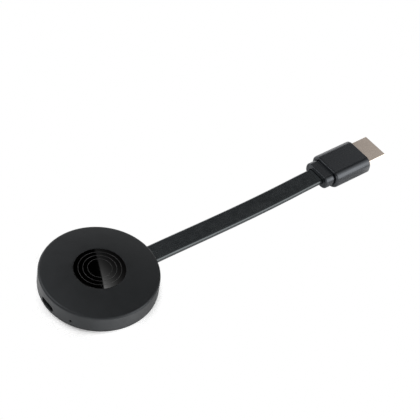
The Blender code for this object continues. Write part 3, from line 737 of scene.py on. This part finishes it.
def bars(name, size, centres):
    """Small bars with softened edges, each a body of its own."""

    def fill(bm):
        for centre in centres:
            made = bmesh.ops.create_cube(bm, size=1.0)["verts"]
            bmesh.ops.scale(bm, vec=size, verts=made)
            bmesh.ops.translate(bm, vec=centre, verts=made)
        bmesh.ops.bevel(
            bm, geom=bm.edges[:], offset=min(size) * 0.3, segments=2, affect="EDGES", profile=0.5
        )

    return mesh_from(name, fill)


# Cable


def hermite(points, x):
    """Height at x of a smooth curve through points of (x, z)."""
    last = len(points) - 2
    k = max(i for i in range(last + 1) if points[i][0] <= x or i == 0)

    def slope(i):
        before = points[max(i - 1, 0)]
        after = points[min(i + 1, last + 1)]
        return (after[1] - before[1]) / (after[0] - before[0])

    (x0, z0), (x1, z1) = points[k], points[k + 1]
    width = x1 - x0
    t = (x - x0) / width
    rise = z0 * (2 * t**3 - 3 * t**2 + 1) + z1 * (3 * t**2 - 2 * t**3)
    return rise + width * (slope(k) * (t**3 - 2 * t**2 + t) + slope(k + 1) * (t**3 - t**2))


def cable_points():
    """The cable's centre line: its two ends and its flex axes, as (x, z)."""
    axes = [(joint["pos_m"][0], joint["pos_m"][2]) for joint in HINGES]
    return [(LEAD_LOW.x, CABLE_EXIT_Z)] + axes + [(TAIL_HIGH.x, PLUG_Z)]


def make_cable():
    """One stretch for each flex axis.

    Neighbours meet in the middle of a link, where it stays straight.
    """
    points = cable_points()
    axes = [x for x, _ in points[1:-1]]
    cuts = [points[0][0]] + [(a + b) / 2 for a, b in zip(axes, axes[1:])] + [points[-1][0]]
    section = rounded_ring(CABLE_HALF_WIDTH, CABLE_HALF_THICKNESS, CABLE_CORNER)
    nodes = [node for node in frame["nodes"] if node.startswith("cable_l") or node == "cable_tail"]
    nodes = sorted(nodes, key=lambda node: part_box(node)[0].x)
    ring_gap = 0.7 * MM
    for number, joint in enumerate(HINGES):
        low, high = cuts[number : number + 2]
        steps = round((high - low) / ring_gap)
        rings = []
        for i in range(steps + 1):
            x = low + (high - low) * i / steps
            small = 0.01 * MM
            lean = math.atan2(hermite(points, x + small) - hermite(points, x - small), 2 * small)
            z = hermite(points, x)
            rings.append(
                [(x - dz * math.sin(lean), y, z + dz * math.cos(lean)) for y, dz in section]
            )
        name = f"cable_sheath_{number + 1}"
        sheath = piece(name, lofted(name, rings), SHEATH)
        before, after = points[number], points[number + 2]
        lean = math.atan2(after[1] - before[1], after[0] - before[0])
        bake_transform(sheath)
        stood_for = nodes[number : number + 1] if number + 1 < len(HINGES) else nodes[number:]
        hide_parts(*stood_for)


# Plug


def end_rounding(x, inwards, side_radius, height_radius, steps=6):
    """Stations (x, drawn in sideways, drawn in vertically), from an end face to the full section."""
    stations = []
    for i in range(steps + 1):
        turn = math.radians(90 * i / steps)
        draw = 1 - math.sin(turn)
        along = x + inwards * max(side_radius, height_radius) * (1 - math.cos(turn))
        stations.append((along, side_radius * draw, height_radius * draw))
    return stations


def bar_rings(stations, half_width, half_height, corner):
    rings = []
    for x, side, height in stations:
        section = rounded_ring(half_width - side, half_height - height, corner - height)
        rings.append(across_x(x, section))
    return rings


def shell_ring(x, inset):
    """The type-A shell's section, moved inwards by inset, at x."""
    half_w = SHELL_HIGH.y - inset
    half_h = (SHELL_HIGH.z - SHELL_LOW.z) / 2 - inset
    return across_x(x, keystone_ring(half_w, half_h, -0.35 * MM, 1.75 * MM))


def make_hood():
    half_w = HOOD_HIGH.y
    half_h = (HOOD_HIGH.z - HOOD_LOW.z) / 2
    corner = 4.0 * MM
    rear = HOOD_LOW.x
    front = HOOD_HIGH.x
    rear_stations = end_rounding(rear, 1, 1.1 * MM, 0.14 * MM)
    front_stations = end_rounding(front, -1, 0.55 * MM, 0.55 * MM)[::-1]
    rings = bar_rings(rear_stations + front_stations, half_w, half_h, corner)
    gap = 0.15 * MM
    lead_in = 0.12 * MM
    rings += [shell_ring(front, -gap - lead_in), shell_ring(front - lead_in, -gap)]
    mouth_depth = 2.2 * MM
    mouth_end = front - mouth_depth
    rings.append(shell_ring(mouth_end, -gap))
    cavity_w = 7.2 * MM
    cavity_h = 3.1 * MM
    cavity = rounded_ring(cavity_w, cavity_h, 1.0 * MM)
    pocket_end = COLLAR_HIGH.x + 0.3 * MM
    rings += [across_x(mouth_end, cavity), across_x(pocket_end, cavity)]
    pocket_gap = 0.2 * MM
    collar_h = (COLLAR_HIGH.z - COLLAR_LOW.z) / 2
    pocket_w = COLLAR_HIGH.y + pocket_gap
    pocket = rounded_ring(pocket_w, collar_h + pocket_gap, COLLAR_CORNER + pocket_gap)
    rings += [across_x(pocket_end, pocket), across_x(rear, pocket)]
    mesh = lofted("hood_shell", rings, closed=True)
    piece("hood_shell", mesh, HOOD, "plug", ["plug_hood"])


def make_collar():
    half_h = (COLLAR_HIGH.z - COLLAR_LOW.z) / 2
    stations = end_rounding(COLLAR_LOW.x, 1, 0.7 * MM, 0.14 * MM) + [(COLLAR_HIGH.x, 0, 0)]
    rings = bar_rings(stations, COLLAR_HIGH.y, half_h, COLLAR_CORNER)
    gap = 0.2 * MM
    slot = rounded_ring(CABLE_HALF_WIDTH + gap, CABLE_HALF_THICKNESS + gap, CABLE_CORNER + gap)
    rings += [across_x(COLLAR_HIGH.x, slot), across_x(COLLAR_LOW.x, slot)]
    mesh = lofted("strain_collar", rings, closed=True)
    piece("strain_collar", mesh, HOOD, "plug", ["plug_collar"])


def make_plug_shell():
    sheet = 0.35 * MM
    roll = 0.12 * MM
    root, tip = SHELL_LOW.x, SHELL_HIGH.x
    turned = 0.3 * roll
    rings = [shell_ring(root, 0), shell_ring(tip - roll, 0), shell_ring(tip - turned, turned)]
    rings += [shell_ring(tip, roll), shell_ring(tip, sheet - roll), shell_ring(tip - roll, sheet)]
    rings.append(shell_ring(root, sheet))
    mesh = lofted("plug_sleeve", rings, closed=True)
    piece("plug_sleeve", mesh, PLATE, "plug", ["plug_shell"])


def make_plug_core():
    """The insulator's mouth, with the two rows of contacts."""
    inset = 0.45 * MM
    front = CORE_FRONT
    depth = 8.5 * MM
    mouth_w = 5.4 * MM
    mouth_h = 0.85 * MM
    lead_in = 0.2 * MM
    rings = [shell_ring(CORE_BACK, inset), shell_ring(front - lead_in, inset)]
    rings.append(shell_ring(front, inset + lead_in))
    corner = 0.2 * MM
    entry = rounded_ring(mouth_w + lead_in, mouth_h + lead_in, corner + lead_in)
    mouth = rounded_ring(mouth_w, mouth_h, corner)
    rings += [across_x(front, entry), across_x(front - lead_in, mouth)]
    rings.append(across_x(front - depth, mouth))
    mesh = lofted("contact_core", rings)
    stood_for = ["plug_insulator", "contact_holder"]
    piece("contact_core", mesh, CONNECTOR, "plug", stood_for)
    length = 6.5 * MM
    setback = 0.6 * MM
    pitch = 1.0 * MM
    x = front - setback - length / 2
    size = (length, 0.45 * MM, 0.16 * MM)
    centres = []
    for count, z in ((10, PLUG_Z + mouth_h), (9, PLUG_Z - mouth_h)):
        centres += [(x, (i - (count - 1) / 2) * pitch, z) for i in range(count)]
    piece("plug_contacts", bars("plug_contacts", size, centres), GOLD, "plug")


# Carried-over CAD nodes


def dress_inside():
    """Gives the inner CAD parts their finish."""
    finishes = {
        BOARD: ["main_board"],
        EPOXY: ["processor_chip", "memory_chip", "flash_chip", "power_inductor"],
        TIN: ["wifi_", "clock_crystal", "shield_can", "board_screw", "switch_plunger"],
        CERAMIC: ["capacitor"],
        SILICONE: ["thermal_pad"],
        ALUMINIUM: ["heat_spreader"],
        CLEAR: ["status_led"],
        SMOKED: ["light_pipe"],
        CONNECTOR: ["switch_body", "wire_header", "cable_clamp", "plug_inner_mould"],
    }
    for finish, starts in finishes.items():
        for name, node in frame["nodes"].items():
            if name.startswith(tuple(starts)):
                for slot in node.material_slots:
                    slot.material = finish


# Stage

# The room's soft glows: azimuth, elevation and angular radius in degrees, and radiance in the middle.
ROOM_GLOWS = (
    (0, 90, 33, 0.3),
    (45, 0, 30, 1.7),
    (90, 12, 37, 1.4),
    (135, 50, 35, 2.75),
    (225, 12, 37, 1.8),
    (300, 12, 37, 3.1),
    (300, 45, 30, 1.2),
    (335, 30, 35, 0.7),
)

# The table's painted pools of light, glowing patches where no lamp shines: centre (x, y) and radius in
# mm, and radiance in the middle.
PAINTED_TABLE_POOLS = (
    (-32, 32, 35, 0.62),
    (-45, 0, 35, 0.4),
    (-32, -32, 35, 0.1),
    (-6, -45, 35, 0.98),
    (164, -13, 17, 1.35),
)
TABLE_GLOW = 0.12
TABLE_WHITE = 0.9
TABLE_HALF_SIZE = 1.5
TABLE_TOP = -0.02 * MM
PAINTED_POOL_FLAT = 5 * MM  # a painted pool of light keeps its full radiance this far from its centre

# To the camera the table shows only near the puck, and fades into the white behind it.
FADE_CENTRE = (-1.4 * MM, 1.0 * MM, 0)
FADE_START = 25.6 * MM
FADE_END = 30.0 * MM

# The card that the gloss disc mirrors: where it hangs, which way it runs, and its edges from there.
CARD_TOWARDS = (0.4212, 0.514, 0.7475)
CARD_ACROSS = (0.866, -0.484, -0.13)
CARD_DISTANCE = 2.0
CARD_WIDTH = 0.9
CARD_LOW = -0.7
CARD_HIGH = 0.5
CARD_GLOW = 0.73
CARD_FADE = 10.5
CARD_RISE = 4.6
CARD_FAR_GLOW = 0.567
CARD_FAR_START = 0.37
CARD_FAR_END = 0.47

# The camera: degrees and metres.
CAMERA_AZIMUTH = -45.32
CAMERA_ELEVATION = 45.36
CAMERA_ROLL = 10.75
CAMERA_TARGET = (0.06948, 0.01124, 0)
CAMERA_DISTANCE = 0.636
CAMERA_LENS = 120
CAMERA_SENSOR = 36


def look_from(azimuth_deg, elevation_deg, roll_deg):
    """Axes of a camera that looks down at the object: right, up and back."""
    azimuth, elevation, roll = map(math.radians, (azimuth_deg, elevation_deg, roll_deg))
    level = math.cos(elevation)
    back = Vector((math.sin(azimuth) * level, -math.cos(azimuth) * level, math.sin(elevation)))
    right = Vector((0, 0, 1)).cross(back).normalized()
    up = back.cross(right)
    c, s = math.cos(roll), math.sin(roll)
    return right * c + up * s, up * c - right * s, back


def make_camera():
    right, up, back = look_from(CAMERA_AZIMUTH, CAMERA_ELEVATION, CAMERA_ROLL)
    camera = bpy.data.cameras.new("camera")
    camera.lens = CAMERA_LENS
    camera.sensor_width = CAMERA_SENSOR
    camera.clip_start = 0.01
    placed = bpy.data.objects.new("camera", camera)
    bpy.context.scene.collection.objects.link(placed)
    matrix = Matrix((right, up, back)).transposed().to_4x4()
    matrix.translation = Vector(CAMERA_TARGET) + back * CAMERA_DISTANCE
    placed.matrix_world = matrix
    bpy.context.scene.camera = placed


def staged(name, fill, material):
    """A surface of the studio, which is not a piece of the object."""
    made = bpy.data.objects.new(name, mesh_from(name, fill))
    bpy.context.scene.collection.objects.link(made)
    made.data.materials.append(material)
    return made


def bare_material(name):
    """A material with nothing but an output, with the node builder for it."""
    material = bpy.data.materials.new(name)
    material.use_nodes = True
    material.node_tree.nodes.clear()
    return material, Shading(material.node_tree)


def card_material():
    """Bright along the straight edge at x = 0, fading across, and bright again far out."""
    material, shading = bare_material("card")
    place = shading.node("ShaderNodeSeparateXYZ")
    shading.link(shading.node("ShaderNodeTexCoord").outputs["Object"], place.inputs["Vector"])
    across = shading.maths("MULTIPLY", place.outputs["X"], -CARD_FADE)
    along = shading.maths("MULTIPLY", place.outputs["Y"], CARD_RISE)
    fading = shading.maths("EXPONENT", shading.maths("ADD", across, along))
    near = shading.maths("MULTIPLY", fading, CARD_GLOW)
    far = shading.spread(
        place.outputs["X"], 0, CARD_FAR_GLOW, CARD_FAR_START, CARD_FAR_END, "SMOOTHSTEP"
    )
    glow = shading.node("ShaderNodeEmission")
    shading.link(shading.maths("ADD", near, far), glow.inputs["Strength"])
    output = shading.node("ShaderNodeOutputMaterial")
    shading.link(glow.outputs["Emission"], output.inputs["Surface"])
    return material


def make_card():
    """A card that the gloss disc mirrors on one side of a straight line, and the plug further out."""
    seen = Vector(CARD_TOWARDS).normalized()
    across = Vector(CARD_ACROSS)
    across = (across - seen * across.dot(seen)).normalized()
    along = across.cross(seen)

    def fill(bm):
        corners = [(0, CARD_LOW), (CARD_WIDTH, CARD_LOW), (CARD_WIDTH, CARD_HIGH), (0, CARD_HIGH)]
        bm.faces.new([bm.verts.new((u, v, 0)) for u, v in corners])

    card = staged("card", fill, card_material())
    matrix = Matrix((across, along, across.cross(along))).transposed().to_4x4()
    matrix.translation = Vector((0, 0, CROWN_Z)) + seen * CARD_DISTANCE
    card.matrix_world = matrix
    card.visible_camera = False


def floor_material():
    """White, a little backlit all over, with painted pools of light where no lamp shines. To the
    camera it fades into the white behind it.
    """
    material, shading = bare_material("white_table")
    coords = shading.node("ShaderNodeTexCoord").outputs["Object"]
    diffuse = shading.node("ShaderNodeBsdfDiffuse")
    diffuse.inputs["Color"].default_value = (TABLE_WHITE, TABLE_WHITE, TABLE_WHITE, 1)
    total = TABLE_GLOW
    # Each patch is a painted pool of light: the table glows brighter there though no lamp lights it.
    for x, y, radius, radiance in PAINTED_TABLE_POOLS:
        away = shading.distance(coords, (x * MM, y * MM, 0))
        painted_pool = shading.spread(away, radiance, 0, PAINTED_POOL_FLAT, radius * MM, "SMOOTHSTEP")
        total = shading.maths("ADD", painted_pool, total)
    glow = shading.node("ShaderNodeEmission")
    shading.link(total, glow.inputs["Strength"])
    lit = shading.node("ShaderNodeAddShader")
    shading.link(diffuse.outputs["BSDF"], lit.inputs[0])
    shading.link(glow.outputs["Emission"], lit.inputs[1])
    reach = shading.distance(coords, FADE_CENTRE)
    faded = shading.spread(reach, 0, 1, FADE_START, FADE_END, "SMOOTHSTEP")
    to_camera = shading.node("ShaderNodeLightPath").outputs["Is Camera Ray"]
    mix = shading.node("ShaderNodeMixShader")
    shading.link(shading.maths("MULTIPLY", faded, to_camera), mix.inputs["Fac"])
    shading.link(lit.outputs["Shader"], mix.inputs[1])
    shading.link(shading.node("ShaderNodeBsdfTransparent").outputs["BSDF"], mix.inputs[2])
    output = shading.node("ShaderNodeOutputMaterial")
    shading.link(mix.outputs["Shader"], output.inputs["Surface"])
    return material


def make_floor():
    def fill(bm):
        bmesh.ops.create_grid(bm, x_segments=1, y_segments=1, size=TABLE_HALF_SIZE)

    floor = staged("floor", fill, floor_material())
    floor.location = (0, 0, TABLE_TOP)


def towards(azimuth_deg, elevation_deg):
    """A unit vector to a point of the room."""
    azimuth, elevation = math.radians(azimuth_deg), math.radians(elevation_deg)
    level = math.cos(elevation)
    return Vector((math.cos(azimuth) * level, math.sin(azimuth) * level, math.sin(elevation)))


def make_world():
    """White behind the object. What it reflects is a dim room with a few soft glows."""
    world = bpy.data.worlds.new("studio")
    world.use_nodes = True
    shading = Shading(world.node_tree)
    direction = shading.node("ShaderNodeTexCoord").outputs["Generated"]
    total = 0.0
    for azimuth, elevation, spread, radiance in ROOM_GLOWS:
        dot = shading.node("ShaderNodeVectorMath", operation="DOT_PRODUCT")
        dot.inputs[1].default_value = towards(azimuth, elevation)
        shading.link(direction, dot.inputs[0])
        edge = math.cos(math.radians(spread))
        glow = shading.spread(dot.outputs["Value"], 0, radiance, edge, 1, "SMOOTHSTEP")
        total = shading.maths("ADD", glow, total)
    seen = shading.node("ShaderNodeMix")
    shading.link(shading.node("ShaderNodeLightPath").outputs["Is Camera Ray"], seen.inputs["Factor"])
    shading.link(total, seen.inputs["A"])
    seen.inputs["B"].default_value = 1.0
    background = shading.tree.nodes["Background"]
    background.inputs["Color"].default_value = (1, 1, 1, 1)
    shading.link(seen.outputs["Result"], background.inputs["Strength"])
    bpy.context.scene.world = world


make_top_cover()
make_bottom_cover()
make_base_pad()
make_medallion()
make_button()
make_socket()
make_cable()
make_hood()
make_collar()
make_plug_shell()
make_plug_core()
dress_inside()
make_floor()
make_world()
make_card()
make_camera()
bpy.context.scene.view_settings.view_transform = "Standard"
